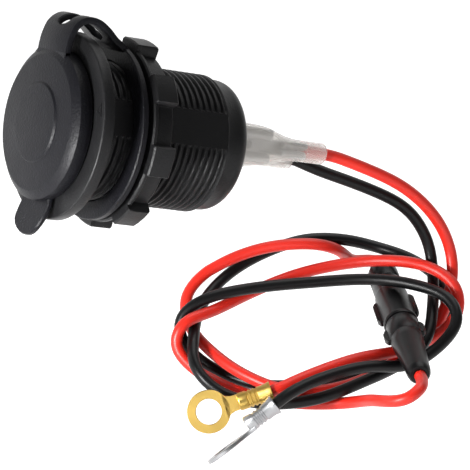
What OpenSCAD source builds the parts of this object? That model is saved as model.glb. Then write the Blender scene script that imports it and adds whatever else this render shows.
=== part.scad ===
// Panel socket for a 12 volt plug, with a tethered cap, a lock nut and a fused lead.
// Millimetres. The socket's axis runs along Y: the cap is at -Y and the wires leave at +Y.
// The origin is on the axis at the back face of the flange, where the panel bears. +Z is up to the strap.

/* [Socket body] */
// outside diameter of the flange
flange_d = 37.5; // [30:0.5:50]
// thickness of the flange
flange_t = 2.5; // [1.5:0.1:4]
// diameter over the thread's crests
thread_d = 28; // [24:0.5:34]
// length of the threaded part behind the flange
thread_l = 29.5; // [15:0.5:40]
// distance between the two side flats
flats_w = 26.9; // [24:0.1:34]
// diameter of the smooth tail
tail_d = 26.6; // [23:0.1:33]
// length of the body behind the flange
body_l = 35.4; // [25:0.1:50]
// radius on the tail's rear edge
tail_round = 3; // [1:0.1:4]
// thickness of the body's end wall
end_wall = 2.2; // [1.5:0.1:4]

/* [Receptacle] */
// inside diameter of the metal receptacle
bore_d = 21; // [20.5:0.1:22]
// wall of the metal receptacle
sleeve_t = 0.5; // [0.3:0.1:1]
// outside diameter of its rolled lip
lip_d = 24.6; // [23:0.1:28]
// diameter of the insulating disc
disc_d = 11; // [9:0.1:14]
// thickness of the insulating disc
disc_t = 1; // [0.5:0.1:2]

/* [Lock nut] */
// outside diameter of the nut's ring
nut_d = 34; // [30:0.5:44]
// how far the nut's lugs stand out past the flange
lug_out = 0.55; // [0:0.05:3]
// thickness of the nut
nut_t = 5; // [3:0.5:8]
// distance from the flange's back face to the nut
nut_y = 9.3; // [8.8:0.1:20]
// width of one lug, in degrees
lug_angle = 19; // [10:1:30]

/* [Cap and strap] */
// diameter of the cap's skirt
cap_d = 30.4; // [26:0.2:34]
// gap between the skirt and the flange
cap_gap = 0.3; // [0.1:0.1:1]
// height of the cap from skirt edge to face
cap_h = 4.3; // [3:0.1:6]
// diameter of the shallow recess in the cap's face
recess_d = 16.1; // [10:0.1:22]
// distance from the axis to the pull tab's tip
tab_reach = 21.5; // [18:0.5:26]
// width of the strap
strap_w = 11.3; // [6:0.1:14]
// thickness of the strap and of its ring
strap_t = 1.4; // [1:0.1:2.5]
// outside radius of the strap's arch
arch_r = 7.2; // [6:0.1:10]
// outside diameter of the strap's ring
ring_d = 35.8; // [33:0.2:40]

/* [Blades and terminals] */
// width of a blade
blade_w = 6.3; // [4.8:0.1:6.3]
// thickness of a blade
blade_t = 0.8; // [0.5:0.1:1]
// length of a blade beyond the body
blade_l = 8.6; // [6:0.1:12]
// wall of the soft sleeve over a terminal
cover_t = 0.4; // [0.3:0.05:1]

/* [Wires] */
// diameter of a wire over its insulation
wire_d = 2.5; // [2:0.1:3.5]
// hole in a ring terminal
ring_hole_d = 5.3; // [4.3:0.1:6.4]
// outside diameter of a ring terminal's eye
ring_eye_d = 9; // [8:0.1:12]

/* [Fuse holder] */
// length of the fuse holder
fuse_l = 50; // [46:0.5:60]
// diameter of the fuse holder
fuse_d = 7.2; // [7:0.1:9]
// diameter of the glass fuse over its caps
fuse_cap_d = 5.2; // [5:0.1:5.4]

/* [Hidden] */
$fn = 72;

bore_r = bore_d / 2;
sleeve_r = bore_r + sleeve_t;
thread_r = thread_d / 2;
tail_r = tail_d / 2;
floor_y = body_l - end_wall;
sleeve_floor_y = floor_y - 0.05;
inner_floor_y = sleeve_floor_y - sleeve_t;
disc_y = inner_floor_y - 0.02 - disc_t;
rivet_r = 1.2;
foot_t = 0.8;
foot_y = body_l + 0.02;
pos_x = 3;
pos_z = 1.5;
neg_x = -6;
neg_z = -1;
neg_rivet_x = -8.2;
cap_y0 = -flange_t - cap_gap;
cap_r = cap_d / 2;
cap_face_y = cap_y0 - cap_h;
plug_r = bore_r - 0.5;
plug_y = 2.6;
hinge_y = 1;
hinge_z = 17.6;
ring_y = hinge_y + arch_r - strap_t;
ring_bore_r = thread_r + 0.1;
shell_w = 7.2;
shell_h = 2.5;
lug_d = flange_d + 2 * lug_out;
lip_y = -flange_t + 0.45;
button_r = disc_d / 2 - 1.3;
wide_l = 6.6;
crimp_start = 11.3;
crimp_stop = 19.3;
cover_stop = 19.9;
red_mouth = 39.3;
black_mouth = 37.3;
barrel_r = 1.85;
barrel_end = 13.6;
ring_plate = 0.8;

red_upper = [[3, 59.5, 1.5], [5, 69, 0], [6.5, 79.5, -3], [7, 88.5, -8.5], [7, 94, -15.5], [9, 94, -23],
    [10, 91, -31.5], [9.5, 85, -37.5], [11.5, 75, -43], [11, 65.5, -46.5], [6.5, 58, -48],
    [-1.5, 52, -46.5], [-10.5, 49, -43.5], [-19, 48.5, -40], [-23, 49, -34], [-22.5, 54, -27.5],
    [-19, 62, -22], [-14.5, 70.5, -19.3], [-15.5, 76.5, -20.7], [-20.5, 83.5, -21], [-21, 87.5, -20.5],
    [-19.5, 91, -20], [-16.5, 92, -21], [-12.5, 90.5, -22.5]];
red_lower = [[31.5, 73, -38.5], [34, 72, -39.5], [36.5, 69.5, -41], [36.5, 67, -44], [33, 65.5, -45.5],
    [27, 66.5, -46.5], [20, 69, -46.5], [13.5, 68.5, -48.5], [7, 62.5, -50.5],
    [0, 54, -51], [-8, 46.5, -48.5], [-12.5, 42, -44], [-12.5, 43, -38.5], [-13.5, 50.5, -35.5],
    [-15.5, 60.5, -31], [-14, 70, -26], [-9.5, 79, -22], [-2.5, 85.5, -19.5], [6.5, 89.5, -19],
    [12, 93, -22], [14, 93, -28], [12.5, 88.5, -33.5], [11.5, 81, -37], [12.5, 70.5, -39],
    [12, 59.5, -43.5], [11.5, 51.5, -47.5]];
black_route = [[-6, 57.5, -1], [-3.5, 64, -2.5], [0.5, 74, -4.5], [2.5, 83.5, -7.5], [3, 90, -13.5],
    [4.5, 92, -20.5], [10.5, 89, -27], [15, 85.5, -33.5], [14.5, 80.5, -39], [15, 71, -43.5],
    [13, 62.5, -48], [7, 55, -51], [0.5, 47.5, -51], [-5, 43, -47], [-11, 45, -42], [-18, 49.5, -36.5],
    [-21.5, 55.5, -30.5], [-21.5, 63, -24.5], [-18, 72, -19], [-15.5, 81, -17.5], [-12.5, 88.5, -18],
    [-5, 93, -19], [3.5, 95, -22], [7.5, 95, -28], [7.5, 92, -34.5], [7, 84.5, -39.5], [7.5, 73, -43.5],
    [5.5, 63.5, -46.5], [-0.5, 56.5, -48.5], [-9, 50.5, -47.5], [-15, 45.5, -43.5], [-16.5, 44.5, -38],
    [-14.5, 49, -33], [-12, 59, -29.5], [-7.5, 70.5, -26.5], [-1.5, 79, -24], [6, 85, -23],
    [14, 89.5, -24], [18.5, 90, -28.5], [18.5, 86, -34.5], [17.5, 79.5, -39], [16.5, 69.5, -40],
    [15.5, 57.5, -44.5], [15, 50.5, -49.5]];

// directions and places worked out from the routes
eye_dir = unit([0.834, -0.545, 0.087]);
brass_dir = unit([0.448, 0.76, 0.472]);
tin_dir = unit([0.323, 0.609, 0.725]);
tin_face = unit([-0.448, -0.576, 0.684]);
red_far = red_lower[len(red_lower) - 1];
black_far = black_route[len(black_route) - 1];
fuse_top = red_upper[len(red_upper) - 1];
fuse_dir = unit(red_lower[0] - fuse_top);
fuse_foot = fuse_top + (fuse_l + 0.1) * fuse_dir;
red_lower_route = concat([fuse_foot], [for (i = [1 : len(red_lower) - 1]) red_lower[i]]);

// small vector helpers
function unit(v) = v / norm(v);
function across(t, v) = unit(v - (v * t) * t);
function along(p, i, d0, d1) =
    i == 0 ? unit(d0) : i == len(p) - 1 ? unit(d1) : unit(unit(p[i + 1] - p[i]) + unit(p[i] - p[i - 1]));
function carried(p, d0, d1) =
    [for (i = 0, u = across(along(p, 0, d0, d1), [0.3, 0.2, 1]);
        i < len(p);
        i = i + 1, u = i < len(p) ? across(along(p, i, d0, d1), u) : u) u];
function ring_points(p, r, sides, d0, d1) =
    let (u = carried(p, d0, d1))
    [for (i = [0 : len(p) - 1])
        let (t = along(p, i, d0, d1), v = cross(t, u[i]))
        for (j = [0 : sides - 1])
            p[i] + r * (cos(360 * j / sides) * u[i] + sin(360 * j / sides) * v)];
function side_faces(n, s) =
    [for (i = [0 : n - 2])
        for (j = [0 : s - 1])
            for (k = [0, 1])
                let (a = i * s + j, b = i * s + (j + 1) % s, c = a + s, d = b + s)
                k == 0 ? [a, c, d] : [a, d, b]];

// one closed tube along a list of points
module tube(p, r, sides, d0, d1) {
    n = len(p);
    polyhedron(
        points = ring_points(p, r, sides, d0, d1),
        faces = concat(
            side_faces(n, sides),
            [[for (j = [0 : sides - 1]) j]],
            [[for (j = [sides - 1 : -1 : 0]) (n - 1) * sides + j]]
        ),
        convexity = 10
    );
}

// stands children with their X along x and their Z as near z as it can be
module stand(o, x, z) {
    u = unit(x);
    w = across(u, z);
    v = cross(w, u);
    multmatrix([
        [u.x, v.x, w.x, o.x],
        [u.y, v.y, w.y, o.y],
        [u.z, v.z, w.z, o.z],
        [0, 0, 0, 1]
    ]) children();
}

// turns children that were drawn up Z so that they run along +Y from y
module on_axis(y = 0) {
    translate([0, y, 0]) rotate([-90, 0, 0]) children();
}

// a turned piece: points are [radius, y]
module turned(points) {
    on_axis(0) rotate_extrude() polygon(points);
}

// the moulded body: flange, barrel with two flats, and closed tail
module socket_body() {
    color("#1b1c1e")
    difference() {
        turned(concat(
            [[0, -flange_t + 1], [0, body_l]],
            [for (a = [0 : 15 : 90])
                [tail_r - tail_round + tail_round * sin(a), body_l - tail_round + tail_round * cos(a)]],
            [[tail_r, thread_l + 0.5], [thread_r - 0.4, thread_l], [thread_r, thread_l - 0.5], [thread_r, 0],
            [flange_d / 2 - 0.3, 0], [flange_d / 2, -0.3], [flange_d / 2, -flange_t + 0.5],
            [flange_d / 2 - 0.5, -flange_t], [lip_d / 2 + 0.1, -flange_t], [lip_d / 2 + 0.1, -flange_t + 1]]
        ));
        on_axis(-flange_t - 1) cylinder(r = sleeve_r + 0.05, h = floor_y + flange_t + 1);
        on_axis(-flange_t - 1) cylinder(r = lip_d / 2 + 0.1, h = lip_y + sleeve_t + 0.05 + flange_t + 1);
        for (s = [-1, 1])
            translate([s * (flats_w / 2 + 5), thread_l / 2, 0]) cube([10, thread_l - 0.02, 40], center = true);
        on_axis(floor_y - 1) cylinder(r = rivet_r + 0.05, h = 5);
        translate([neg_rivet_x, 0, neg_z]) on_axis(floor_y - 1) cylinder(r = rivet_r + 0.05, h = 5);
    }
}

// the metal receptacle with its rolled lip and its floor
module contact_sleeve() {
    color("#b9bcbf")
    difference() {
        union() {
            on_axis(lip_y) cylinder(r = sleeve_r, h = sleeve_floor_y - lip_y);
            on_axis(lip_y) cylinder(r = lip_d / 2, h = sleeve_t);
        }
        on_axis(-flange_t - 1) cylinder(r = bore_r, h = inner_floor_y + flange_t + 1);
        on_axis(lip_y - 0.01) cylinder(r1 = bore_r + sleeve_t - 0.05, r2 = bore_r, h = sleeve_t + 0.01);
        on_axis(floor_y - 3) cylinder(r = 2.6, h = 5);
        translate([neg_rivet_x, 0, neg_z]) on_axis(floor_y - 3) cylinder(r = rivet_r + 0.05, h = 5);
    }
}

// insulates the centre contact from the receptacle's floor
module insulating_disc() {
    color("#c8b48a")
    difference() {
        union() {
            on_axis(disc_y) cylinder(d = disc_d, h = disc_t);
            on_axis(disc_y) cylinder(r = 2.5, h = floor_y - disc_y - 0.02);
        }
        on_axis(disc_y - 1) cylinder(r = rivet_r + 0.05, h = 6);
    }
}

// the positive contact: a domed button on the disc
module centre_contact() {
    color("#c9a659")
    difference() {
        turned([[0, disc_y - 0.02], [button_r, disc_y - 0.02], [button_r, disc_y - 0.5],
            [button_r - 0.8, disc_y - 0.9],
            [2.6, disc_y - 2.4], [1.2, disc_y - 2.9], [0, disc_y - 3]]);
        on_axis(disc_y - 2.2) cylinder(r = 2.2, h = 2);
        on_axis(disc_y - 0.7) cylinder(r = rivet_r + 0.05, h = 2);
    }
}

// a rivet from inside y0 to the outside of a blade's foot
module rivet(y0, head_r) {
    difference() {
        union() {
            on_axis(y0) cylinder(r = rivet_r, h = foot_y + foot_t + 0.02 - y0);
            on_axis(y0 - 0.6) cylinder(r = head_r, h = 0.6);
            on_axis(foot_y + foot_t + 0.02) cylinder(r1 = 1.9, r2 = 1.5, h = 0.6);
        }
        on_axis(foot_y + foot_t + 0.2) cylinder(r = 0.7, h = 1);
    }
}

module centre_rivet() {
    color("#c4c6c8") rivet(disc_y - 0.54, 1.9);
}

module negative_rivet() {
    color("#c4c6c8") translate([neg_rivet_x, 0, neg_z]) rivet(inner_floor_y - 0.02, 1.9);
}

// a blade with its foot: x is the blade's place, fx0 to fx1 is the foot, rx is the rivet
module blade(x, z, fx0, fx1, rx, rz) {
    difference() {
        union() {
            translate([min(fx0, fx1), foot_y, rz - 2.6]) cube([abs(fx1 - fx0), foot_t, 5.2]);
            translate([x - blade_t / 2, foot_y, z - blade_w / 2]) cube([blade_t, blade_l - 1, blade_w]);
            hull() {
                translate([x - blade_t / 2, foot_y + blade_l - 2, z - blade_w / 2]) cube([blade_t, 1, blade_w]);
                translate([x - blade_t / 2 + 0.15, foot_y + blade_l - 1, z - blade_w / 2 + 0.7])
                    cube([blade_t - 0.3, 1, blade_w - 1.4]);
            }
        }
        translate([rx, 0, rz]) on_axis(foot_y - 1) cylinder(r = rivet_r + 0.05, h = 3);
        translate([x, foot_y + blade_l * 0.6, z]) rotate([0, 90, 0]) cylinder(d = 1.8, h = 4, center = true);
    }
}

module positive_blade() {
    color("#c4c6c8") blade(pos_x, pos_z, -2.2, pos_x + blade_t / 2, 0, 0);
}

module negative_blade() {
    color("#c4c6c8") blade(neg_x, neg_z, neg_rivet_x - 2.1, neg_x + blade_t / 2, neg_rivet_x, neg_z);
}

// the lock nut, castellated with eight wide lugs for the fingers
module lock_nut() {
    color("#1b1c1e")
    difference() {
        union() {
            on_axis(nut_y) cylinder(d = nut_d, h = nut_t);
            on_axis(nut_y) cylinder(d = nut_d + 2, h = 1);
            for (k = [0 : 7])
                on_axis(nut_y) rotate([0, 0, 22.5 + 45 * k - lug_angle / 2])
                    rotate_extrude(angle = lug_angle)
                        polygon([[nut_d / 2 - 1, 0], [lug_d / 2 - 0.3, 0], [lug_d / 2, 0.3],
                            [lug_d / 2, nut_t - 0.3], [lug_d / 2 - 0.3, nut_t], [nut_d / 2 - 1, nut_t]]);
        }
        on_axis(nut_y - 1) cylinder(r = thread_r + 0.05, h = nut_t + 2);
    }
}

// the hinged cap: skirt, recessed face, hollow plug, strap root and pull tab
module cap() {
    color("#202123")
    difference() {
        union() {
            turned([[0, cap_face_y + 0.5], [recess_d / 2 - 0.5, cap_face_y + 0.5], [recess_d / 2, cap_face_y],
                [cap_r - 1.7, cap_face_y], [cap_r, cap_face_y + 1.6], [cap_r, cap_y0 - 0.8],
                [cap_r - 0.2, cap_y0 - 0.7], [cap_r - 0.2, cap_y0], [cap_r - 1.8, cap_y0],
                [cap_r - 1.8, cap_y0 - 2.1], [plug_r, cap_y0 - 2.1], [plug_r, plug_y - 0.4],
                [plug_r - 0.25, plug_y], [plug_r - 1.6, plug_y], [plug_r - 1.6, cap_y0 - 2.1],
                [0, cap_y0 - 2.1]]);
            translate([-strap_w / 2, hinge_y - arch_r, cap_r - 3])
                cube([strap_w, strap_t, hinge_z - cap_r + 3.7]);
            hull() {
                translate([0, cap_y0 - 2.6, -13]) on_axis(0) cylinder(r = 5.3, h = 1.15, $fn = 32);
                translate([0, cap_y0 - 2.6, -tab_reach + 3.2]) on_axis(0) cylinder(r = 3.2, h = 1.15, $fn = 32);
            }
        }
        translate([0, 0, -13]) on_axis(cap_y0 - 2.1) cylinder(r = 2, h = 0.5);
    }
}

// the strap: an arch with one long slot that leaves two bands
module cap_strap() {
    color("#202123")
    translate([0, hinge_y, hinge_z])
    difference() {
        rotate([0, 90, 0]) cylinder(r = arch_r, h = strap_w, center = true);
        rotate([0, 90, 0]) cylinder(r = arch_r - strap_t, h = strap_w + 2, center = true);
        translate([0, 0, -arch_r + 0.75]) cube([strap_w + 2, 3 * arch_r, 2 * arch_r], center = true);
        translate([0, 0, arch_r]) cube([strap_w * 0.36, 1.6 * arch_r, arch_r], center = true);
    }
}

// the strap's ring, loose on the neck behind the panel's edge
module cap_ring() {
    color("#202123")
    difference() {
        union() {
            on_axis(ring_y) cylinder(d = ring_d, h = strap_t);
            translate([-strap_w / 2, ring_y, ring_d / 2 - 3]) cube([strap_w, strap_t, hinge_z + 0.7 - ring_d / 2 + 3]);
        }
        on_axis(ring_y - 1) cylinder(r = ring_bore_r, h = strap_t + 2);
    }
}

// a female blade terminal: floor, two rolled edges, neck and crimp barrel
module spade_terminal(mouth) {
    translate([0, mouth, 0])
    difference() {
        union() {
            translate([-shell_h / 2, 0, -shell_w / 2]) cube([shell_h, wide_l, shell_w]);
            on_axis(crimp_start - 0.01) cylinder(r = 1.7, h = crimp_stop - crimp_start);
            translate([-shell_h / 2, wide_l - 0.01, -1.5]) cube([0.45, crimp_start - wide_l + 0.5, 3]);
        }
        translate([-blade_t / 2 - 0.03, -1, -blade_w / 2 - 0.05])
            cube([blade_t + 0.35, wide_l + 2, blade_w + 0.1]);
        translate([0, -1, -1.5]) cube([5, wide_l + 2, 3]);
        on_axis(crimp_start - 1) cylinder(r = wire_d / 2 + 0.03, h = 12);
    }
}

module red_spade_terminal() {
    color("#c4c6c8") translate([pos_x, 0, pos_z]) spade_terminal(red_mouth);
}

module black_spade_terminal() {
    color("#c4c6c8") translate([neg_x, 0, neg_z]) spade_terminal(black_mouth);
}

// a soft clear sleeve over a terminal: a flat mouth that runs into a round neck
module sleeve_shape(grow, y0, y1) {
    side = shell_h / 2 + 0.05 + grow / 2;
    face = shell_h / 2 + 0.4 + grow;
    edge = shell_w / 2 + 0.05 + grow;
    hull() {
        translate([-face, y0, 0.9 - shell_w / 2]) cube([2 * face, wide_l - y0 + 1, shell_w - 1.8]);
        translate([-side, y0, -edge]) cube([2 * side, wide_l - y0 + 1, 2 * edge]);
    }
    hull() {
        translate([-face, wide_l + 0.9, 0.9 - shell_w / 2]) cube([2 * face, 0.1, shell_w - 1.8]);
        translate([-side, wide_l + 0.9, -edge]) cube([2 * side, 0.1, 2 * edge]);
        on_axis(crimp_start - 0.3) cylinder(r = 1.85 + grow, h = 0.3, $fn = 32);
    }
    on_axis(crimp_start - 0.01) cylinder(r = 1.85 + grow, h = y1 - crimp_start);
}

// y0 is where the sleeve starts, measured from the terminal's mouth
module terminal_sleeve(mouth, y0) {
    translate([0, mouth, 0])
    difference() {
        sleeve_shape(cover_t, y0, cover_stop);
        sleeve_shape(0, y0 - 2, cover_stop + 1);
    }
}

module red_sleeve() {
    color([0.9, 0.9, 0.9, 0.45]) translate([pos_x, 0, pos_z]) terminal_sleeve(red_mouth, foot_y + 1.8 - red_mouth);
}

module black_sleeve() {
    color([0.9, 0.9, 0.9, 0.45])
        translate([neg_x, 0, neg_z]) terminal_sleeve(black_mouth, foot_y + 1.8 - black_mouth);
}

// the wires
module red_lead_upper() {
    color("#e0301e") tube(red_upper, wire_d / 2, 8, [0, 1, 0], fuse_dir);
}

module red_lead_lower() {
    color("#e0301e") tube(red_lower_route, wire_d / 2, 8, fuse_dir, -brass_dir);
}

module black_lead() {
    color("#1a1a1a") tube(black_route, wire_d / 2, 8, [0, 1, 0], -tin_dir);
}

// a crimped ring terminal: the eye's centre is at 0 and the wire comes from +X
module ring_terminal() {
    difference() {
        union() {
            translate([0, 0, -ring_plate / 2]) cylinder(d = ring_eye_d, h = ring_plate);
            translate([3, -1.9, -ring_plate / 2]) cube([4.5, 3.8, ring_plate]);
            translate([6.3, 0, barrel_r - ring_plate / 2]) rotate([0, 90, 0])
                cylinder(r = barrel_r, h = barrel_end - 6.3);
        }
        translate([0, 0, -2]) cylinder(d = ring_hole_d, h = 4);
        translate([6.9, 0, barrel_r - ring_plate / 2]) rotate([0, 90, 0]) cylinder(r = wire_d / 2 + 0.05, h = 12);
    }
}

module brass_ring_terminal() {
    color("#d9b23c")
    stand(red_far - (barrel_end + 0.06) * brass_dir - (barrel_r - ring_plate / 2) * across(brass_dir, eye_dir),
        brass_dir, eye_dir) ring_terminal();
}

module tin_ring_terminal() {
    color("#c9cbcd")
    stand(black_far - (barrel_end + 0.06) * tin_dir - (barrel_r - ring_plate / 2) * across(tin_dir, tin_face),
        tin_dir, tin_face) ring_terminal();
}

// stands children, drawn up Z from 0, along the fuse holder
module in_holder() {
    stand(fuse_top + 0.05 * fuse_dir, fuse_dir, eye_dir) rotate([0, 90, 0]) children();
}

// the upper shell of the holder, which turns off to change the fuse
module fuse_holder_cap() {
    color("#1d1d1f") in_holder()
    difference() {
        union() {
            rotate_extrude() polygon([[0, 0], [2.1, 0], [2.4, 0.4], [2.4, 2.2], [3.1, 3], [fuse_d / 2 - 0.3, 3.6],
                [fuse_d / 2 - 0.3, 14.2], [fuse_d / 2, 14.8], [fuse_d / 2, 27.5], [fuse_d / 2 - 0.2, 27.8], [0, 27.8]]);
            for (s = [-1, 1])
                translate([-0.6, s > 0 ? 0 : -fuse_d / 2 - 0.9, 15.5]) cube([1.2, fuse_d / 2 + 0.9, 9.5]);
        }
        translate([0, 0, -1]) cylinder(r = wire_d / 2 + 0.05, h = 10);
        translate([0, 0, 6]) cylinder(r = fuse_cap_d / 2 + 0.1, h = 12);
        translate([0, 0, 17]) cylinder(r = 3.15, h = 20);
    }
}

// the lower shell, with the long taper to the wire
module fuse_holder_body() {
    color("#1d1d1f") in_holder()
    difference() {
        rotate_extrude() polygon([[0, 17.3], [3.05, 17.3], [3.05, 28], [fuse_d / 2 - 0.1, 28], [fuse_d / 2 - 0.1, 34.5],
            [fuse_d / 2 - 0.3, 35], [2.45, fuse_l - 1.2], [2.2, fuse_l - 0.4], [1.7, fuse_l], [0, fuse_l]]);
        translate([0, 0, 10]) cylinder(r = fuse_cap_d / 2 + 0.1, h = 28.5);
        translate([0, 0, 38]) cylinder(r = wire_d / 2 + 0.05, h = 20);
    }
}

module fuse_glass() {
    color([0.8, 0.9, 0.95, 0.35]) in_holder()
    difference() {
        translate([0, 0, 11.2]) cylinder(r = 2.3, h = 19.4);
        translate([0, 0, 10]) cylinder(r = 1.8, h = 22);
    }
}

module fuse_end_caps() {
    color("#c4c6c8") in_holder()
    for (z = [10.9, 25.9])
        difference() {
            translate([0, 0, z]) cylinder(d = fuse_cap_d, h = 5);
            translate([0, 0, z < 20 ? z + 0.28 : z - 1]) cylinder(r = 2.34, h = z < 20 ? 6 : 5.72);
        }
}

module fuse_upper_contact() {
    color("#c9a659") in_holder() {
        translate([0, 0, 10.3]) cylinder(r = 2.5, h = 0.5);
        translate([0, 0, 4]) cylinder(r = 1.1, h = 6.4);
    }
}

module fuse_lower_contact() {
    color("#c9a659") in_holder() {
        translate([0, 0, 31]) cylinder(r = 2.5, h = 0.5);
        translate([0, 0, 31.4]) cylinder(r = 1.1, h = 2);
    }
}

module fuse_spring() {
    color("#b5b8ba") in_holder()
        tube([for (i = [0 : 40]) [2 * cos(36 * i), 2 * sin(36 * i), 31.85 + 6.3 * i / 40]], 0.25, 6,
            [0, 1, 0.1], [0, 1, 0.1]);
}

socket_body();
contact_sleeve();
insulating_disc();
centre_contact();
centre_rivet();
negative_rivet();
positive_blade();
negative_blade();
lock_nut();
cap();
cap_strap();
cap_ring();
red_spade_terminal();
black_spade_terminal();
red_sleeve();
black_sleeve();
red_lead_upper();
red_lead_lower();
black_lead();
fuse_holder_cap();
fuse_holder_body();
fuse_glass();
fuse_end_caps();
fuse_upper_contact();
fuse_lower_contact();
fuse_spring();
brass_ring_terminal();
tin_ring_terminal();
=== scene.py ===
import bmesh
import bpy
import math
from mathutils import Matrix, Vector


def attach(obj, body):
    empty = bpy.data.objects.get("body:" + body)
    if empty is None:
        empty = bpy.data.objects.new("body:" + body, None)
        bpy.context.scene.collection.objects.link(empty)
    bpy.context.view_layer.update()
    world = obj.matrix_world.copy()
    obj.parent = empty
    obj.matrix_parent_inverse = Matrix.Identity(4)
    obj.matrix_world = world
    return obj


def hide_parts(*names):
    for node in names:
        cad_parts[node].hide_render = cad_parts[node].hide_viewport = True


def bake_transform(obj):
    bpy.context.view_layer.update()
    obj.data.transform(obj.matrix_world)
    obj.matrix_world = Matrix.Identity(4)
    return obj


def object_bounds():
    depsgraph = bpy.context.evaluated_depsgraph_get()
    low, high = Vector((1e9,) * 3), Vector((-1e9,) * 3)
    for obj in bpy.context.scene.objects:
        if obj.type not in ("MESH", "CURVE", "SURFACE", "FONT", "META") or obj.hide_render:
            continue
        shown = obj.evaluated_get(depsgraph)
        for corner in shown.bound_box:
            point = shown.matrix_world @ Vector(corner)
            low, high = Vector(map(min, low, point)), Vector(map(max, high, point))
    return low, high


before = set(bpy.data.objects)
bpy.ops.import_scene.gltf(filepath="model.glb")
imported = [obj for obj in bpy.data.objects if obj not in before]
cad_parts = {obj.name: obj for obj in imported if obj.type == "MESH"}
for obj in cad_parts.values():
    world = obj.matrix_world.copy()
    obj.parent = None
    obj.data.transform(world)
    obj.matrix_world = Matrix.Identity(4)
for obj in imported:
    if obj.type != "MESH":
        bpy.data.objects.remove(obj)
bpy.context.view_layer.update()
print("stage: frame loaded")

mm = 0.001
turn = 2 * math.pi


def vec(point):
    return Vector(point) * mm


# Colours are written as the eye reads them and turned linear here.
def tint(code):
    parts = [int(code[i : i + 2], 16) / 255 for i in (1, 3, 5)]
    return [c / 12.92 if c <= 0.04045 else ((c + 0.055) / 1.055) ** 2.4 for c in parts] + [1.0]


# The camera stands where the photograph's did, worked out from the flange, barrel and nut.
cameraFit = {
    "place": (514.87, -292.89, 36.07),
    "right": (0.527, 0.833, 0.170),
    "back": (0.834, -0.545, 0.087),
    "focal_px": 3000,
    "frame_px": 470,
    "sensor": 36,
    "clip": (0.05, 60),
}


def makeCamera(fit):
    back = Vector(fit["back"]).normalized()
    right = Vector(fit["right"])
    right = (right - right.dot(back) * back).normalized()
    up = back.cross(right)
    data = bpy.data.cameras.new("photoCamera")
    data.sensor_width = fit["sensor"]
    data.lens = fit["focal_px"] / fit["frame_px"] * fit["sensor"]
    data.clip_start, data.clip_end = fit["clip"]
    camera = bpy.data.objects.new("photoCamera", data)
    bpy.context.collection.objects.link(camera)
    at = vec(fit["place"])
    camera.matrix_world = Matrix([(right[i], up[i], back[i], at[i]) for i in range(3)] + [(0, 0, 0, 1)])
    bpy.context.scene.camera = camera
    return back


viewBack = makeCamera(cameraFit)
print("stage: camera")


# One small function adds a shader node with its settings and links.
def addNode(tree, kind, values=None, links=None, **settings):
    node = tree.nodes.new(kind)
    for key, value in settings.items():
        setattr(node, key, value)
    for key, value in (values or {}).items():
        node.inputs[key].default_value = value
    for key, (source, output) in (links or {}).items():
        tree.links.new(source.outputs[output], node.inputs[key])
    return node


# grain is the size of the surface's texture in mm, relief how deep it is in mm, and blotch the width in mm
# of the patches over which the roughness drifts by uneven.
def finish(name, colour, rough, metal=0.0, ior=1.5, grain=0.3, relief=0.0, uneven=0.08, blotch=4.0, **more):
    material = bpy.data.materials.new(name)
    material.use_nodes = True
    tree = material.node_tree
    shader = tree.nodes["Principled BSDF"]
    shader.inputs["Base Color"].default_value = tint(colour)
    shader.inputs["Roughness"].default_value = rough
    shader.inputs["Metallic"].default_value = metal
    shader.inputs["IOR"].default_value = ior
    for key, value in more.items():
        shader.inputs[key.replace("_", " ")].default_value = value
    where = addNode(tree, "ShaderNodeTexCoord")
    patches = {"Scale": 1 / (blotch * mm), "Detail": 3.0}
    wide = addNode(tree, "ShaderNodeTexNoise", patches, {"Vector": (where, "Object")})
    limits = {"To Min": max(0.02, rough - uneven), "To Max": min(1.0, rough + uneven)}
    spread = addNode(tree, "ShaderNodeMapRange", limits, {"Value": (wide, "Fac")})
    tree.links.new(spread.outputs["Result"], shader.inputs["Roughness"])
    if relief:
        grains = {"Scale": 1 / (grain * mm), "Detail": 2.0}
        fine = addNode(tree, "ShaderNodeTexNoise", grains, {"Vector": (where, "Object")})
        depth = {"Strength": 1.0, "Distance": relief * mm}
        bump = addNode(tree, "ShaderNodeBump", depth, {"Height": (fine, "Fac")})
        tree.links.new(bump.outputs["Normal"], shader.inputs["Normal"])
    return material


# Glass-filled nylon: nearly black, a soft sheen that whitens on crests and edges. The moulded grain of
# this and of the cap is drawn coarser than the real one, so that it shows.
blackNylon = finish(
    "glass_filled_nylon_moulded", "#131314", 0.4, grain=0.4, relief=0.05, blotch=3, Specular_IOR_Level=0.17
)
# Softer moulding of the cap and strap: dark grey with a fine grain and a broad, dull sheen.
capSoft = finish(
    "soft_moulded_elastomer", "#0f0f12", 0.4, grain=0.42, relief=0.07, blotch=5, Specular_IOR_Level=0.11
)
# Holder's plastic: smooth satin with clearer highlights.
holderPlastic = finish(
    "holder_pvc_satin", "#0a0a0b", 0.34, grain=0.5, relief=0.004, Specular_IOR_Level=0.18
)
# Wire insulation: satin vinyl, with a long soft highlight.
wireSkin = {"ior": 1.53, "grain": 0.6, "relief": 0.004, "blotch": 9}
redVinyl = finish("red_pvc_insulation", "#c32114", 0.42, Specular_IOR_Level=0.36, **wireSkin)
blackVinyl = finish("black_pvc_insulation", "#0a0a0b", 0.38, Specular_IOR_Level=0.2, **wireSkin)
# Pressed brass: warm yellow, bright but brushed by the press.
pressedBrass = finish("pressed_brass", "#c9a95b", 0.4, metal=1.0, grain=0.35, relief=0.004, uneven=0.1)
# Tin plate: pale grey, soft reflections.
tinPlate = finish("tin_plated_brass", "#a9aaac", 0.34, metal=1.0, grain=0.3, relief=0.004, uneven=0.1)
# Nickel plate inside the receptacle: grey, with blurred reflections.
nickelSteel = finish("nickel_plated_steel", "#757471", 0.46, metal=1.0)
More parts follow.
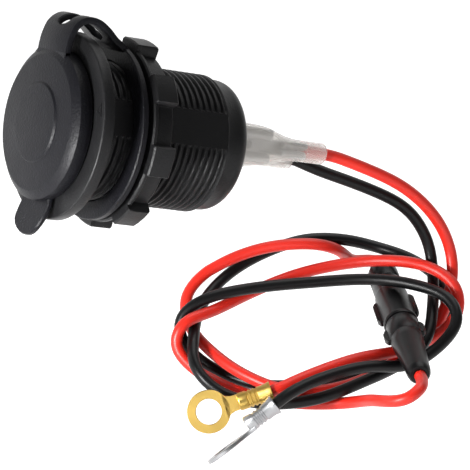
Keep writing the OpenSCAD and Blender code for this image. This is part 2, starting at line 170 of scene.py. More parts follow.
# Pressed board: flat light brown with a fibrous grain.
boardBrown = finish("pressed_insulation_board", "#b39263", 0.7, grain=0.2, relief=0.01)
# Soft clear vinyl of the terminal sleeves: milky and faintly warm, with small glints.
clearLook = {"Transmission_Weight": 0.6, "Alpha": 0.54}
clearVinyl = finish(
    "soft_clear_vinyl", "#f4f0ea", 0.24, ior=1.4, grain=1.6, relief=0.03, blotch=2, **clearLook
)
# The fuse's glass: clear, with sharp reflections.
fuseGlassFinish = finish("fuse_glass", "#f6fbfb", 0.03, ior=1.5, Transmission_Weight=1.0)

# Points closer than this, in metres, are welded into one.
weldGap = 1e-7


# Points are in mm. Faces that meet at less than sharp degrees are shaded as one round surface.
def meshPiece(name, verts, faces, sharp=32):
    mesh = bpy.data.meshes.new(name)
    mesh.from_pydata([tuple(Vector(v) * mm) for v in verts], [], faces)
    work = bmesh.new()
    work.from_mesh(mesh)
    bmesh.ops.remove_doubles(work, verts=work.verts, dist=weldGap)
    bmesh.ops.recalc_face_normals(work, faces=work.faces)
    limit = math.radians(sharp)
    for face in work.faces:
        face.smooth = True
    for edge in work.edges:
        edge.smooth = len(edge.link_faces) == 2 and edge.calc_face_angle(0) < limit
    work.to_mesh(mesh)
    work.free()
    piece = bpy.data.objects.new(name, mesh)
    bpy.context.collection.objects.link(piece)
    return piece


# Quads between neighbouring rows of n points. Rows, and the points in a row, may each close into a ring.
def gridFaces(rows, n, closedRows=True, closedPoints=True):
    faces = []
    for i in range(rows if closedRows else rows - 1):
        k = (i + 1) % rows
        for j in range(n if closedPoints else n - 1):
            m = (j + 1) % n
            faces.append((i * n + j, i * n + m, k * n + m, k * n + j))
    return faces


# A section of (radius, y) points turned about the Y axis. shape may change the radius at each angle.
def turnedData(section, angles, shape=None, closed=False):
    verts = []
    for angle in angles:
        for r, y in section:
            bent = shape(angle, r, y) if shape else r
            verts.append((bent * math.cos(angle), y, bent * math.sin(angle)))
    return verts, gridFaces(len(angles), len(section), closedPoints=closed)


def evenAngles(count):
    return [turn * i / count for i in range(count)]


def joined(*parts):
    verts, faces = [], []
    for partVerts, partFaces in parts:
        base = len(verts)
        verts += partVerts
        faces += [tuple(i + base for i in face) for face in partFaces]
    return verts, faces


# A flat outline in X and Z pushed out from y0 to y1, with its edges broken by chamfer.
def slab(outline, y0, y1, chamfer=0.2):
    n = len(outline)
    cx = sum(p[0] for p in outline) / n
    cz = sum(p[1] for p in outline) / n
    verts = []
    for y, inset in ((y0, chamfer), (y0 + chamfer, 0), (y1 - chamfer, 0), (y1, chamfer)):
        for x, z in outline:
            d = math.hypot(x - cx, z - cz)
            k = (d - inset) / d
            verts.append((cx + (x - cx) * k, y, cz + (z - cz) * k))
    faces = gridFaces(4, n, closedRows=False)
    faces.append(tuple(range(n)))
    faces.append(tuple(range(4 * n - 1, 3 * n - 1, -1)))
    return verts, faces


def box(x, y0, y1, z0, z1):
    return slab([(-x, z0), (x, z0), (x, z1 - 0.1), (-x, z1 - 0.1)], y0, y1)


def moved(data, matrix):
    verts, faces = data
    return [tuple(matrix @ Vector(v)) for v in verts], faces


# A piece gets its finish and its body, and the nodes of the part that it stands for are hidden.
def place(piece, material, slotName, body, *nodes):
    piece.data.materials.clear()
    piece.data.materials.append(material)
    if nodes:
        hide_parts(*nodes)
    if body:
        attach(piece, body)
    return piece


# A smooth line through points, of which the first and last only steer its ends.
def throughPoints(line, steps):
    out = []
    for i in range(1, len(line) - 2):
        a, b, c, d = line[i - 1 : i + 3]
        for k in range(steps):
            t = k / steps
            p = 2 * b + (c - a) * t
            p = p + (2 * a - 5 * b + 4 * c - d) * t * t
            p = p + (3 * b - a - 3 * c + d) * t**3
            out.append(0.5 * p)
    out.append(line[-2])
    return out


# Cords first. Their routes are listed points, as in the part's source. Beside the fuse holder
# the red lead's points are its own here, so that it crosses the black lead as the photograph shows.
cordSettings = {
    "wire_d": 2.5,
    "holder_l": 50,
    "holder_gap": 0.05,
    "brass_dir": (0.448, 0.76, 0.472),
    "tin_dir": (0.323, 0.609, 0.725),
    "tin_face": (-0.448, -0.576, 0.684),
    "steps": 7,
    "fixed_ends": 4,
    "passes": 6,
    "slack_passes": 12,
    "slack_upper": [(15, 23)],
    "slack_lower": [(2, 10)],
    "red_upper": [
        [3, 59.5, 1.5], [5, 69, 0], [6.5, 79.5, -3], [7, 88.5, -8.5], [7, 94, -15.5], [9, 94, -23],
        [10, 91, -31.5], [9.5, 85, -37.5], [11.5, 75, -43], [11, 65.5, -46.5], [6.5, 58, -48],
        [-1.5, 52, -46.5], [-10.5, 49, -43.5], [-19, 48.5, -40], [-23, 49, -34], [-22.5, 54, -27.5],
        [-19, 62, -22], [-14.2, 69, -19.4], [-12.6, 74.2, -18.9], [-13.2, 78.8, -19.6],
        [-16.2, 83, -20.8], [-18.6, 86.8, -22.2], [-19.4, 90.2, -22], [-17.1, 92, -21.4],
        [-12.5, 90.5, -22.5],
    ],
    "red_lower": [
        [31.5, 73, -38.5], [34, 72, -39.4], [36.4, 69.8, -40.6], [36.2, 67.4, -42.8], [33, 65.9, -44.1],
        [27, 66.5, -45.1], [20.5, 68.5, -46.4], [13.5, 68.5, -48.5], [7, 62.5, -50.5], [0, 54, -51],
        [-8, 46.5, -48.5], [-12.5, 42, -44], [-12.5, 43, -38.5], [-13.5, 50.5, -35.5], [-15.5, 60.5, -31],
        [-14, 70, -26], [-9.5, 79, -22], [-2.5, 85.5, -19.5], [6.5, 89.5, -19], [12, 93, -22],
        [14, 93, -28], [12.5, 88.5, -33.5], [11.5, 81, -37], [12.5, 70.5, -39], [12, 59.5, -43.5],
        [11.5, 51.5, -47.5],
    ],
    "black": [
        [-6, 57.5, -1], [-3.5, 64, -2.5], [0.5, 74, -4.5], [2.5, 83.5, -7.5], [3, 90, -13.5],
        [4.5, 92, -20.5], [10.5, 89, -27], [15, 85.5, -33.5], [14.5, 80.5, -39], [15, 71, -43.5],
        [13, 62.5, -48], [7, 55, -51], [0.5, 47.5, -51], [-5, 43, -47], [-11, 45, -42],
        [-18, 49.5, -36.5], [-21.5, 55.5, -30.5], [-21.5, 63, -24.5], [-18, 72, -19], [-15.5, 81, -17.5],
        [-12.5, 88.5, -18], [-5, 93, -19], [3.5, 95, -22], [7.5, 95, -28], [7.5, 92, -34.5],
        [7, 84.5, -39.5], [7.5, 73, -43.5], [5.5, 63.5, -46.5], [-0.5, 56.5, -48.5], [-9, 50.5, -47.5],
        [-15, 45.5, -43.5], [-16.5, 44.5, -38], [-14.5, 49, -33], [-12, 59, -29.5], [-7.5, 70.5, -26.5],
        [-1.5, 79, -24], [6, 85, -23], [14, 89.5, -24], [18.5, 90, -28.5], [18.5, 86, -34.5],
        [17.5, 79.5, -39], [16.5, 69.5, -40], [15.5, 57.5, -44.5], [15, 50.5, -49.5],
    ],
}


# The points leave faint corners, so the line is relaxed between its ends, and more where it hangs slack.
def smoothRoute(points, startDir, endDir, slack=()):
    s = cordSettings
    pts = [Vector(p) for p in points]
    first = pts[1] - 2 * (pts[1] - pts[0]).length * startDir
    last = pts[-2] + 2 * (pts[-1] - pts[-2]).length * endDir
    out = throughPoints([first] + pts + [last], s["steps"])
    spans = [(s["fixed_ends"], len(out) - s["fixed_ends"], s["passes"])]
    spans += [(first * s["steps"], last * s["steps"], s["slack_passes"]) for first, last in slack]
    for first, last, passes in spans:
        for _ in range(passes):
            kept = [v.copy() for v in out]
            for i in range(first, last):
                out[i] = 0.25 * kept[i - 1] + 0.5 * kept[i] + 0.25 * kept[i + 1]
    return out


def cordPiece(name, line, diameter, material, slotName, node):
    data = bpy.data.curves.new(name, "CURVE")
    data.dimensions = "3D"
    data.bevel_depth = diameter / 2 * mm
    data.bevel_resolution = 5
    data.use_fill_caps = True
    spline = data.splines.new("POLY")
    spline.points.add(len(line) - 1)
    for point, spot in zip(spline.points, line):
        point.co = (*vec(spot), 1)
    spline.use_smooth = True
    piece = bpy.data.objects.new(name, data)
    bpy.context.collection.objects.link(piece)
    place(piece, material, slotName, "socket", node)
    return piece


def lineLength(line):
    return sum((b - a).length for a, b in zip(line, line[1:]))


brassDir = Vector(cordSettings["brass_dir"]).normalized()
tinDir = Vector(cordSettings["tin_dir"]).normalized()
tinFace = Vector(cordSettings["tin_face"]).normalized()
fuseTop = Vector(cordSettings["red_upper"][-1])
fuseDir = (Vector(cordSettings["red_lower"][0]) - fuseTop).normalized()
holderSpan = cordSettings["holder_l"] + 2 * cordSettings["holder_gap"]
cordSettings["red_lower"][0] = list(fuseTop + holderSpan * fuseDir)
along = Vector((0, 1, 0))
upperLine = smoothRoute(cordSettings["red_upper"], along, fuseDir, cordSettings["slack_upper"])
lowerLine = smoothRoute(cordSettings["red_lower"], fuseDir, -brassDir, cordSettings["slack_lower"])
blackLine = smoothRoute(cordSettings["black"], along, -tinDir)
wire = cordSettings["wire_d"]
redUpper = cordPiece("redLeadUpper", upperLine, wire, redVinyl, "red_insulation", "red_lead_upper")
redLower = cordPiece("redLeadLower", lowerLine, wire, redVinyl, "red_insulation", "red_lead_lower")
blackLead = cordPiece("blackLead", blackLine, wire, blackVinyl, "black_insulation", "black_lead")
print("stage: cords", [round(lineLength(x)) for x in (upperLine, lowerLine, blackLine)])


# The moulded body, with its rolled thread and two flats.
bodySettings = {
    "flange_r": 18.75,
    "flange_t": 2.5,
    "thread_r": 14.0,
    "thread_l": 29.5,
    "thread_from": 0.3,
    "thread_stop": 0.1,
    "run_out": 0.8,
    "thread_band": (13.2, 14.2),
    "pitch": 1.42,
    "depth": 0.62,
    "crest": 0.42,
    "flat_x": 13.45,
    "flat_turn": 17.0,
    "tail_r": 13.3,
    "length": 35.4,
    "round": 3.0,
    "bore_r": 11.05,
    "floor_y": 33.2,
    "lip_r": 12.4,
    "lip_depth": 0.6,
    "rings": 400,
    "segments": 168,
}


# The thread's ridges, with the two flats cut across them. Points outside the band keep their radius.
def threaded(angle, r, y):
    s = bodySettings
    low, high = s["thread_band"]
    if not (0.0 < y < s["thread_l"] and low < r < high):
        return r
    across = abs(math.cos(angle - math.radians(s["flat_turn"])))
    if r * across > s["flat_x"]:
        return s["flat_x"] / across
    begin, end = s["thread_from"], s["thread_l"] - s["thread_stop"]
    if not begin < y < end:
        return r
    wave = abs(2 * ((y / s["pitch"] - angle / turn) % 1.0) - 1)
    crest = min(1.0, max(0.0, (wave - s["crest"]) / s["crest"]))
    crest = crest * crest * (3 - 2 * crest)
    fade = min(1.0, (y - begin) / s["run_out"], (end - y) / s["run_out"])
    r = s["thread_r"] - s["depth"] * (1 - crest) * fade
    return s["flat_x"] / across if r * across > s["flat_x"] else r


def makeBody():
    s = bodySettings
    face, rim, lip, tail = -s["flange_t"], s["flange_r"], s["lip_r"], s["tail_r"]
    ledge = (lip, face + s["lip_depth"])
    outer = [ledge, (lip, face + 0.12), (lip + 0.12, face)]
    outer += [(rim - 0.4, face), (rim - 0.25, face + 0.03), (rim - 0.07, face + 0.16), (rim, face + 0.34)]
    outer += [(rim, -0.3), (rim - 0.08, -0.09), (rim - 0.3, 0.0)]
    outer += [(s["thread_r"] + 0.5, 0.0), (s["thread_r"], 0.02)]
    reach = s["thread_l"] - 0.12
    outer += [(s["thread_r"] - 0.01, 0.06 + reach * i / s["rings"]) for i in range(s["rings"] + 1)]
    outer += [(tail + 0.3, s["thread_l"] + 0.02), (tail, s["thread_l"] + 0.5)]
    for degrees in range(90, -10, -10):
        a = math.radians(degrees)
        outer.append((tail - s["round"] * (1 - math.sin(a)), s["length"] - s["round"] * (1 - math.cos(a))))
    outer.append((0.01, s["length"]))
    inner = [(0.01, s["floor_y"]), (s["bore_r"], s["floor_y"]), (s["bore_r"], ledge[1]), ledge]
    angles = evenAngles(s["segments"])
    data = joined(turnedData(outer, angles, threaded), turnedData(inner, angles))
    piece = meshPiece("socketBody", *data, sharp=40)
    place(piece, blackNylon, "black_nylon", "socket", "socket_body")


makeBody()

# A small moulded arrow on the flange's face, in line with the flat, as a mounting mark. Its corners are
# (outward, sideways) from the place where it stands, and a smaller triangle inside makes it a frame.
arrowSettings = {
    "out": 17.0,
    "raised": 0.14,
    "sunk": 0.05,
    "corners": [(-1.2, 0.0), (0.6, -1.35), (0.6, 1.35)],
    "inside": 0.6,
}


def makeArrow():
    s = arrowSettings
    turned = Matrix.Rotation(-math.radians(bodySettings["flat_turn"]), 4, "Y")
    face = -bodySettings["flange_t"]
    verts = []
    for y in (face - s["raised"], face + s["sunk"]):
        for k in (1.0, s["inside"]):
            verts += [(s["out"] + outward * k, y, sideways * k) for outward, sideways in s["corners"]]
    faces = []
    for i in range(3):
        j = (i + 1) % 3
        for a, b in ((0, 3), (0, 6), (3, 9), (6, 9)):
            faces.append((i + a, j + a, j + b, i + b))
    place(meshPiece("flangeArrow", *moved((verts, faces), turned)), blackNylon, "black_nylon", "socket")


makeArrow()

# The lock nut: a ring with a thin collar and eight wide lugs. A lug's flank is (degrees past its edge,
# share of the way from the plain section to the lug's).
nutSettings = {
    "y": 9.3,
    "t": 5.0,
    "ring_r": 17.0,
    "collar_r": 18.0,
    "lug_r": 19.3,
    "bore_r": 14.05,
    "lugs": 8,
    "lug_deg": 19,
    "first_lug": 35,
    "flank": [(0.9, 0), (0.1, 0.04), (-0.1, 0.86), (-0.7, 1)],
    "gap_marks": (12.5, 16, 19.5, 22.5, 25.5, 29, 32.5),
}


def makeNut():
    s = nutSettings
    y, t, bore, collar, ring, lug = (s[key] for key in ("y", "t", "bore_r", "collar_r", "ring_r", "lug_r"))
    plain = [(bore, y + 0.35), (bore + 0.35, y), (collar - 0.3, y), (collar, y + 0.3), (collar, y + 0.8)]
    plain += [(collar - 0.2, y + 1.0), (ring + 0.15, y + 1.02), (ring, y + 1.2), (ring, y + t - 0.3)]
    plain += [(ring - 0.3, y + t), (bore + 0.35, y + t), (bore, y + t - 0.35)]
    high = [plain[0], plain[1], (lug - 0.3, y), (lug, y + 0.3), (lug, y + 0.8), (lug, y + 1.0)]
    high += [(lug, y + 1.05), (lug, y + 1.2), (lug, y + t - 0.3), (lug - 0.3, y + t), plain[10], plain[11]]
    half = s["lug_deg"] / 2
    marks = []
    for k in range(s["lugs"]):
        c = s["first_lug"] + 360 / s["lugs"] * k
        marks += [(c - half - d, w) for d, w in s["flank"]] + [(c - half / 3, 1), (c + half / 3, 1)]
        marks += [(c + half + d, w) for d, w in reversed(s["flank"])]
        marks += [(c + d, 0) for d in s["gap_marks"]]
    verts = []
    for degrees, w in marks:
        a = math.radians(degrees)
        for (r0, y0), (r1, y1) in zip(plain, high):
            r = r0 + (r1 - r0) * w
            verts.append((r * math.cos(a), y0 + (y1 - y0) * w, r * math.sin(a)))
    piece = meshPiece("lockNut", verts, gridFaces(len(marks), len(plain)))
    place(piece, blackNylon, "black_nylon", "nut", "lock_nut")


makeNut()
print("stage: body and nut")

# The cap, its finger tab and the strap's root. tab_lean is (height where the lean starts, height where it
# is whole, how far forward), and root is (half width, front, back, bottom, top).
capSettings = {
    "section": [
        (0.01, -7.3), (7.5, -7.3), (7.72, -7.26), (8.05, -6.92), (8.3, -6.86), (13.42, -6.82),
        (13.55, -6.78), (15.08, -5.72), (15.18, -5.62), (15.2, -5.45), (15.2, -3.72), (15.15, -3.56),
        (15.02, -3.5), (15.0, -2.98), (14.82, -2.8), (13.4, -2.8), (13.4, -4.9), (10.0, -4.9),
        (10.0, 2.2), (9.75, 2.6), (8.4, 2.6), (8.4, -4.9), (0.01, -4.9),
    ],
    "tab_y": (-4.25, -3.05),
    "tab": [
        (5.2, -13.2), (5.3, -15.5), (5.4, -17.6), (5.25, -18.8), (4.85, -19.8), (4.1, -20.8),
        (3.1, -21.55), (1.9, -22.05), (0.65, -22.25),
    ],
    "tab_lean": (-15.0, -21.0, 1.5),
    "root": (5.65, -6.2, -4.85, 12.6, 14.6),
}


# The finger tab leans forward as it leaves the cap's rim.
def leaningTab():
    s = capSettings
    outline = [(-x, z) for x, z in s["tab"]] + [(x, z) for x, z in reversed(s["tab"])]
    verts, faces = slab(outline, *s["tab_y"], 0.3)
    top, low, forward = s["tab_lean"]
    leaned = []
    for x, y, z in verts:
        k = min(1.0, max(0.0, (top - z) / (top - low)))
        leaned.append((x, y - forward * k * k * (3 - 2 * k), z))
    return leaned, faces


def makeCap():
    s = capSettings
    skirt = turnedData(s["section"], evenAngles(144))
    x, y0, y1, z0, z1 = s["root"]
    piece = meshPiece("capMoulding", *joined(skirt, leaningTab(), box(x, y0, y1, z0, z1)), sharp=30)
    place(piece, capSoft, "cap_rubber", "cap", "cap")


makeCap()


# The strap: two bands over the arch, reaching from the cap to the ring, with a slot between them.
# slot_span is where along the strap the slot runs, and slot_round the share in which its ends round off.
strapSettings = {
    "half": 5.65,
    "slot": 2.0,
    "thick": 1.35,
    "edge": 0.25,
    "steps": 8,
    "outer": [
        (-6.2, 13.4), (-6.15, 15.4), (-5.85, 17.6), (-4.95, 20.1), (-3.2, 21.7), (-1.2, 22.15),
        (1.0, 21.75), (3.2, 20.5), (5.2, 18.9), (6.9, 17.9), (8.15, 16.6), (8.2, 14.6),
    ],
    "slot_span": (0.26, 0.72),
    "slot_round": 0.05,
    "bend_from": (0, -5.3, 17.6),
    "bend_to": (0, 7.4, 17.6),
}


def makeStrap():
    s = strapSettings
    pts = [Vector(p) for p in s["outer"]]
    line = throughPoints([2 * pts[0] - pts[1]] + pts + [2 * pts[-1] - pts[-2]], s["steps"])
    last = len(line) - 1
    inward = []
    for i in range(last + 1):
        t = (line[min(i + 1, last)] - line[max(i - 1, 0)]).normalized()
        inward.append(Vector((t.y, -t.x)))

    def slotHalf(share):
        low, high = s["slot_span"]
        if share <= low or share >= high:
            return 0.0
        reach = min(share - low, high - share) / s["slot_round"]
        return s["slot"] * math.sqrt(max(0.0, 1 - max(0.0, 1 - reach) ** 2))

    e, h = s["edge"], s["thick"]
    bands = []
    for sign in (-1, 1):
        verts = []
        for i, (p, w) in enumerate(zip(line, inward)):
            x0, x1 = slotHalf(i / last), s["half"]
            rounded = e if x0 else 0
            loop = [(x0 + min(e, x0), 0), (x1 - e, 0), (x1 - 0.3 * e, 0.3 * e), (x1, e), (x1, h - e)]
            loop += [(x1 - 0.3 * e, h - 0.3 * e), (x1 - e, h), (x0 + min(e, x0), h)]
            loop += [(x0, h - rounded), (x0, rounded)]
            for x, d in loop:
                q = p + w * d
                verts.append((sign * x, q.x, q.y))
        n, count = len(loop), len(verts)
        ends = [tuple(range(n)), tuple(range(count - 1, count - n - 1, -1))]
        bands.append((verts, gridFaces(last + 1, n, closedRows=False) + ends))
    piece = meshPiece("capStrap", *joined(*bands), sharp=40)
    place(piece, capSoft, "cap_rubber", None, "cap_strap")
    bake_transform(piece)


makeStrap()

# The strap's ring, clamped behind the panel, with the root (half width, bottom, top) that the strap leaves.
ringSettings = {
    "y": 6.8,
    "t": 1.4,
    "bore_r": 14.1,
    "r": 17.9,
    "edge": 0.22,
    "root": (5.6, 14.6, 16.9),
    "root_inset": 0.04,
}


def makeRing():
    s = ringSettings
    y0, y1, e = s["y"], s["y"] + s["t"], s["edge"]
    loop = [(s["bore_r"], y0 + e), (s["bore_r"] + e, y0), (s["r"] - e, y0), (s["r"], y0 + e)]
    loop += [(s["r"], y1 - e), (s["r"] - e, y1), (s["bore_r"] + e, y1), (s["bore_r"], y1 - e)]
    half, z0, z1 = s["root"]
    root = box(half, y0 + s["root_inset"], y1 - s["root_inset"], z0, z1)
    parts = joined(turnedData(loop, evenAngles(144), closed=True), root)
    place(meshPiece("capRing", *parts), capSoft, "cap_rubber", "socket", "cap_ring")


makeRing()
print("stage: cap, strap and ring")


# A tube-like shell through sections of (y, half width in X, half height in Z, squareness).
def loftShell(name, sections, wall, centre, count=48):
    def bulge(share, power):
        return math.copysign(abs(share) ** (2 / power), share)

    def loop(y, hx, hz, power):
        out = []
        for a in evenAngles(count):
            x, z = hx * bulge(math.cos(a), power), hz * bulge(math.sin(a), power)
            out.append((centre[0] + x, centre[1] + y, centre[2] + z))
        return out

    rows = [loop(*section) for section in sections]
    rows += [loop(y, hx - wall, hz - wall, power) for y, hx, hz, power in reversed(sections)]
    verts = [v for row in rows for v in row]
    return meshPiece(name, verts, gridFaces(len(rows), count), sharp=50)


# The clear sleeves over the terminals. red and black are where each terminal's mouth is, and mouth is
# the shell's first two sections.
sleeveSettings = {
    "start": 37.25,
    "mouth": [(0.0, 2.1, 4.24, 3.7), (0.3, 2.18, 4.34, 3.7)],
    "shape": [
        (0.6, 2.16, 4.3, 3.7), (2.4, 2.16, 4.26, 3.6), (4.6, 2.1, 4.06, 3.4), (5.7, 2.1, 3.9, 3.2),
        (6.8, 2.12, 3.6, 3.0), (8.0, 2.16, 3.2, 2.7), (9.3, 2.2, 2.8, 2.4), (10.9, 2.24, 2.5, 2.1),
        (12.2, 2.24, 2.3, 2.0), (14.7, 2.22, 2.24, 2.0), (18.2, 2.2, 2.22, 2.0), (19.6, 2.22, 2.24, 2.0),
        (19.9, 2.16, 2.18, 2.0),
    ],
    "wall": 0.36,
    "red": (3.0, 39.3, 1.5),
    "black": (-6.0, 37.3, -1.0),
}


def makeSleeves():
    s = sleeveSettings
    for colour in ("red", "black"):
        origin = s[colour]
        begin = s["start"] - origin[1]
        shape = [(begin + y, hx, hz, power) for y, hx, hz, power in s["mouth"]] + s["shape"]
        piece = loftShell(colour + "Sleeve", shape, s["wall"], origin)
        place(piece, clearVinyl, "clear_vinyl", "socket", colour + "_sleeve")


makeSleeves()

# The female blade terminals inside the sleeves, pressed from strip. Each line is half of a section in X
# and Z, and the wire's insulation starts behind them.
spadeSettings = {
    "t": 0.36,
    "receiver": [
        (0.72, 1.5), (1.0, 2.0), (1.05, 2.7), (0.8, 3.25), (0.2, 3.42), (-0.6, 3.4), (-1.0, 3.0),
        (-1.07, 2.0), (-1.07, 0.7),
    ],
    "neck": [(0.5, 1.35), (-0.2, 1.5), (-0.8, 1.4), (-1.05, 1.0), (-1.07, 0.4)],
    "crimp": [
        (0.55, 0.25), (1.1, 0.5), (1.35, 0.95), (1.2, 1.4), (0.4, 1.5), (-0.6, 1.4), (-1.2, 0.9),
        (-1.4, 0.3),
    ],
    "spans": [("receiver", 0.0, 6.6), ("neck", 6.5, 9.4), ("crimp", 9.3, 15.2)],
    "insulation": (15.4, 20.4),
    "insulation_r": 1.24,
}


def stripData(half, t, y0, y1):
    line = [Vector((x, z)) for x, z in half] + [Vector((x, -z)) for x, z in reversed(half)]
    n = len(line)
    verts = []
    for y in (y0, y1):
        for side in (-0.5, 0.5):
            for i in range(n):
                d = (line[min(i + 1, n - 1)] - line[max(i - 1, 0)]).normalized()
                p = line[i] + Vector((-d.y, d.x)) * t * side
                verts.append((p.x, y, p.y))
    faces = []
    for i in range(n - 1):
        for r0, r1 in ((0, 1), (2, 3), (0, 2), (1, 3)):
            faces.append((r0 * n + i, r0 * n + i + 1, r1 * n + i + 1, r1 * n + i))
    for i in (0, n - 1):
        faces.append((i, n + i, 3 * n + i, 2 * n + i))
    return verts, faces


def makeSpades():
    s = spadeSettings
    y0, y1 = s["insulation"]
    r = s["insulation_r"]
    for colour, vinyl in (("red", redVinyl), ("black", blackVinyl)):
        at = Matrix.Translation(Vector(sleeveSettings[colour]))
        parts = [stripData(s[key], s["t"], begin, end) for key, begin, end in s["spans"]]
        piece = meshPiece(colour + "Spade", *moved(joined(*parts), at), sharp=45)
        place(piece, tinPlate, "tinned_brass", "socket", colour + "_spade_terminal")
        plug = turnedData([(0.01, y0), (r - 0.14, y0), (r, y0 + 0.2), (r, y1)], evenAngles(32))
        stub = meshPiece(colour + "Insulation", *moved(plug, at))
        place(stub, vinyl, colour + "_insulation", "socket")


makeSpades()


# The frame of a piece that stands at origin with its X and, as near as can be, its Z as given.
def standing(origin, x, z):
    u = Vector(x).normalized()
    w = Vector(z)
    w = (w - w.dot(u) * u).normalized()
    v = w.cross(u)
    return Matrix([(u[i], v[i], w[i], origin[i]) for i in range(3)] + [(0, 0, 0, 1)])


# Turned pieces run up Y, and this lays them along X.
layAlongX = Matrix([(0, 1, 0, 0), (1, 0, 0, 0), (0, 0, 1, 0), (0, 0, 0, 1)])
towardCamera = cameraFit["back"]

# A crimped ring terminal: the eye's centre is at 0 and the wire comes from +X.
terminalSettings = {
    "hole_r": 2.65,
    "eye_r": 4.5,
    "plate": 0.8,
    "barrel_r": 1.85,
    "barrel": (6.3, 13.6),
    "ribs": (8.6, 9.5, 10.4),
    "rib_depth": 0.2,
    "wire_gap": 0.06,
}


def makeTerminal(name, matrix, material, slotName, node):
    s = terminalSettings
    hole, rim, tube = s["hole_r"], s["eye_r"], s["barrel_r"]
    h, e = s["plate"] / 2, 0.12
    loop = [(hole, -h + e), (hole + e, -h), (rim - e, -h), (rim, -h + e)]
    loop += [(rim, h - e), (rim - e, h), (hole + e, h), (hole, h - e)]
    eye = moved(turnedData(loop, evenAngles(72), closed=True), Matrix.Rotation(math.radians(90), 4, "X"))
    edge = [(3.4, -2.6), (4.2, -1.95), (5.2, -1.65), (6.4, -1.6), (7.6, -1.7)]
    outline = edge + [(x, -z) for x, z in reversed(edge)]
    layFlat = Matrix([(1, 0, 0, 0), (0, 0, 1, 0), (0, 1, 0, 0), (0, 0, 0, 1)])
    neck = moved(slab(outline, -h, h, 0.08), layFlat)
    a, b = s["barrel"]
    outer = [(1.45, a), (tube - 0.12, a + 0.15), (tube, a + 0.4)]
    low = tube - s["rib_depth"]
    for rib in s["ribs"]:
        outer += [(tube, rib - 0.32), (low, rib - 0.14), (low, rib + 0.14), (tube, rib + 0.32)]
    outer += [(tube, b - 1.6), (tube + 0.08, b - 0.9), (tube + 0.26, b - 0.25)]
    outer += [(tube + 0.24, b), (1.5, b), (1.3, b - 0.5), (1.3, a + 0.6), (1.45, a)]

    # the crimping tool leaves a dent along the barrel's top
    def crimped(angle, r, y):
        dent = max(0.0, math.cos(angle - math.pi / 2)) ** 6
        return r - 0.3 * dent if a + 1.2 < y < b - 1.8 else r

    lifted = Matrix.Translation((0, 0, tube - h)) @ layAlongX
    barrel = moved(turnedData(outer, evenAngles(56), crimped), lifted)
    piece = meshPiece(name, *moved(joined(eye, neck, barrel), matrix), sharp=35)
    return place(piece, material, slotName, "socket", node)


def terminalFrame(end, x, z):
    s = terminalSettings
    at = standing((0, 0, 0), x, z)
    u, w = at.col[0].to_3d(), at.col[2].to_3d()
    origin = Vector(end) - (s["barrel"][1] + s["wire_gap"]) * u - (s["barrel_r"] - s["plate"] / 2) * w
    return standing(origin, x, z)


brassAt = terminalFrame(cordSettings["red_lower"][-1], brassDir, towardCamera)
tinAt = terminalFrame(cordSettings["black"][-1], tinDir, tinFace)
brassRing = makeTerminal("brassRing", brassAt, pressedBrass, "brass", "brass_ring_terminal")
tinRing = makeTerminal("tinRing", tinAt, tinPlate, "tinned_brass", "tin_ring_terminal")
print("stage: terminals")

# The fuse holder: two shells turned about their own axis, each with a pair of finger wings. A wing is
# (start, end, reach from the axis, thickness).
holderSettings = {
    "upper": [
        (1.3, 0.5), (1.3, 0.05), (2.0, 0.0), (2.35, 0.3), (2.4, 0.7), (2.4, 2.0), (2.55, 2.3), (3.1, 2.9),
        (3.25, 3.2), (3.3, 3.7), (3.3, 8.2), (3.18, 8.4), (3.18, 8.9), (3.3, 9.1), (3.3, 14.2),
        (3.5, 14.5), (3.6, 15.0), (3.6, 26.6), (3.68, 26.8), (3.68, 27.4), (3.5, 27.75), (3.15, 27.75),
        (3.15, 17.0),
    ],
    "lower": [
        (3.05, 17.4), (3.05, 28.0), (3.35, 28.02), (3.5, 28.3), (3.5, 33.6), (3.32, 33.9), (3.32, 34.4),
        (3.45, 34.7), (3.3, 36.5), (2.95, 41.0), (2.62, 46.0), (2.5, 48.2), (2.35, 49.2), (2.0, 49.8),
        (1.5, 50.0), (1.28, 49.95), (1.28, 49.4),
    ],
    "wing": (15.5, 25.0, 4.5, 1.3),
    "low_wing": (28.4, 33.7, 4.4, 1.3),
}


# The wings stand out along the stand's own Y, which is the X of the turned pieces.
def wingedShell(section, wing):
    x0, x1, r, t = wing
    root = 3.0
    parts = [turnedData(section, evenAngles(72))]
    for side in (-1, 1):
        outline = [(root * side, x0), ((r - 0.5) * side, x0 + 0.7), (r * side, x0 + 1.8)]
        outline += [(r * side, x1 - 1.4), ((r - 0.5) * side, x1 - 0.2), (root * side, x1)]
        verts, faces = slab(outline, -t / 2, t / 2, 0.18)
        parts.append(([(x, z, y) for x, y, z in verts], faces))
    return joined(*parts)


def makeHolder():
    s = holderSettings
    at = standing(fuseTop + cordSettings["holder_gap"] * fuseDir, fuseDir, towardCamera) @ layAlongX
    made = []
    for name, shell, wing, body, node in (
        ("holderCap", "upper", "wing", "fuse_cap", "fuse_holder_cap"),
        ("holderBody", "lower", "low_wing", "socket", "fuse_holder_body"),
    ):
        piece = meshPiece(name, *moved(wingedShell(s[shell], s[wing]), at), sharp=35)
        made.append(place(piece, holderPlastic, "holder_plastic", body, node))
    return made


holderCap, holderBody = makeHolder()
print("stage: fuse holder")

# The pieces inside and behind keep their CAD shapes and take real finishes.
nodeFinishes = {
    "contact_sleeve": nickelSteel,
    "insulating_disc": boardBrown,
    "centre_contact": pressedBrass,
    "centre_rivet": tinPlate,
    "negative_rivet": tinPlate,
    "positive_blade": tinPlate,
    "negative_blade": tinPlate,
    "fuse_glass": fuseGlassFinish,
    "fuse_end_caps": tinPlate,
    "fuse_upper_contact": pressedBrass,
    "fuse_lower_contact": pressedBrass,
    "fuse_spring": nickelSteel,
}
for nodeName, material in nodeFinishes.items():
    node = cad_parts[nodeName]
    node.data.materials.clear()
    node.data.materials.append(material)
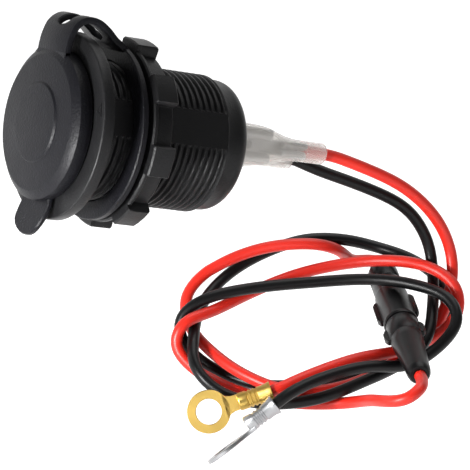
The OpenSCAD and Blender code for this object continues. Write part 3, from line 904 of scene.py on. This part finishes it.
# A pale floor that curves up far behind, under soft studio light. Lengths are in metres but for drop,
# and a light is (name, place, diameter, power).
stageSettings = {
    "drop": 0.4,
    "front": -2.5,
    "flat": 1.2,
    "curve_r": 1.2,
    "wall_top": 4.0,
    "half_width": 4,
    "paper": "#f4f4f4",
    "glow": 0.62,
    "world": 0.24,
    "aim": (0, 0.04, -0.01),
    "lights": [
        ("faceLight", (-0.85, -0.72, 0.3), 1.1, 2.0),
        ("edgeLight", (0.16, -0.6, 0.02), 0.12, 0.9),
        ("lowLight", (0.05, -0.105, -0.046), 0.03, 0.42),
        ("topLight", (0.0, 0.1, 0.9), 0.8, 4.5),
    ],
}


def makeStage():
    s = stageSettings
    white = (1, 1, 1, 1)
    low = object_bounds()[0].z - s["drop"] * mm
    away = Vector((-viewBack.x, -viewBack.y, 0)).normalized()
    side = Vector((away.y, -away.x, 0))
    profile = [(s["front"], 0), (s["flat"], 0)]
    for i in range(1, 13):
        a = math.radians(90 * i / 12)
        profile.append((s["flat"] + s["curve_r"] * math.sin(a), s["curve_r"] * (1 - math.cos(a))))
    profile.append((s["flat"] + s["curve_r"], s["wall_top"]))
    verts = []
    for reach, height in profile:
        for span in (-s["half_width"], s["half_width"]):
            p = away * reach + side * span
            verts.append((p.x / mm, p.y / mm, (low + height) / mm))
    faces = [(2 * i, 2 * i + 1, 2 * i + 3, 2 * i + 2) for i in range(len(profile) - 1)]
    floor = meshPiece("studioFloor", verts, faces, sharp=60)
    lit = {"Emission_Color": white, "Emission_Strength": s["glow"]}
    paper = finish("studio_paper", s["paper"], 0.9, uneven=0.0, **lit)
    floor.data.materials.append(paper)
    for name, at, size, power in s["lights"]:
        data = bpy.data.lights.new(name, "AREA")
        data.shape = "DISK"
        data.size = size
        data.energy = power
        lamp = bpy.data.objects.new(name, data)
        lamp.location = at
        lamp.visible_camera = False
        lamp.rotation_mode = "QUATERNION"
        lamp.rotation_quaternion = (Vector(s["aim"]) - Vector(at)).to_track_quat("-Z", "Y")
        bpy.context.collection.objects.link(lamp)
    world = bpy.data.worlds.new("studioWorld")
    world.use_nodes = True
    background = world.node_tree.nodes["Background"]
    background.inputs["Color"].default_value = white
    background.inputs["Strength"].default_value = s["world"]
    bpy.context.scene.world = world
    bpy.context.scene.view_settings.view_transform = "Standard"
    bpy.context.scene.view_settings.look = "None"


makeStage()
